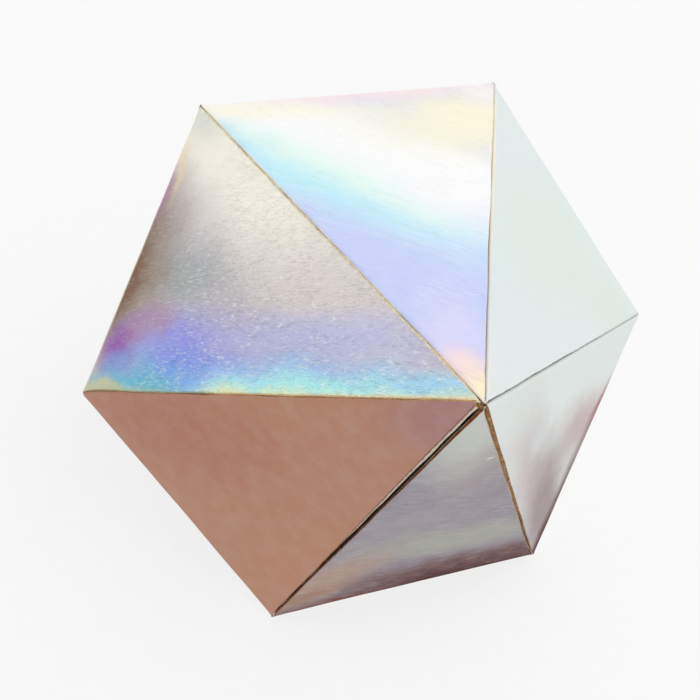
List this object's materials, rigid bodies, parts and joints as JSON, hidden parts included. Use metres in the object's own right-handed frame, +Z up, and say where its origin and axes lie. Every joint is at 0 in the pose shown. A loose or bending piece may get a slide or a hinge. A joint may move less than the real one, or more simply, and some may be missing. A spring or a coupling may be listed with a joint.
{
  "type": "folded paper ball",
  "caption": "Faceted hollow ball of folded shimmering card, a pair of hexagonal pyramids base to base, glued together from equal folded wedge units with open seams between them.",
  "frame": {"origin": "middle of the footprint, on the surface that the ball lies on", "axes": "+X along the longest diagonal of the rim, parallel to the rim fold that lies on the surface; -Y towards the side that the upper tip points to; +Z up"},
  "size_m": [0.086, 0.0583, 0.0547],
  "materials": {
    "iridescent_card": "satin shimmering foil face on brown card"
  },
  "bodies": {
    "root": {"folded_unit_1": "iridescent_card", "folded_unit_2": "iridescent_card", "folded_unit_3": "iridescent_card", "folded_unit_4": "iridescent_card", "folded_unit_5": "iridescent_card", "folded_unit_6": "iridescent_card"}
  },
  "joints": []
}
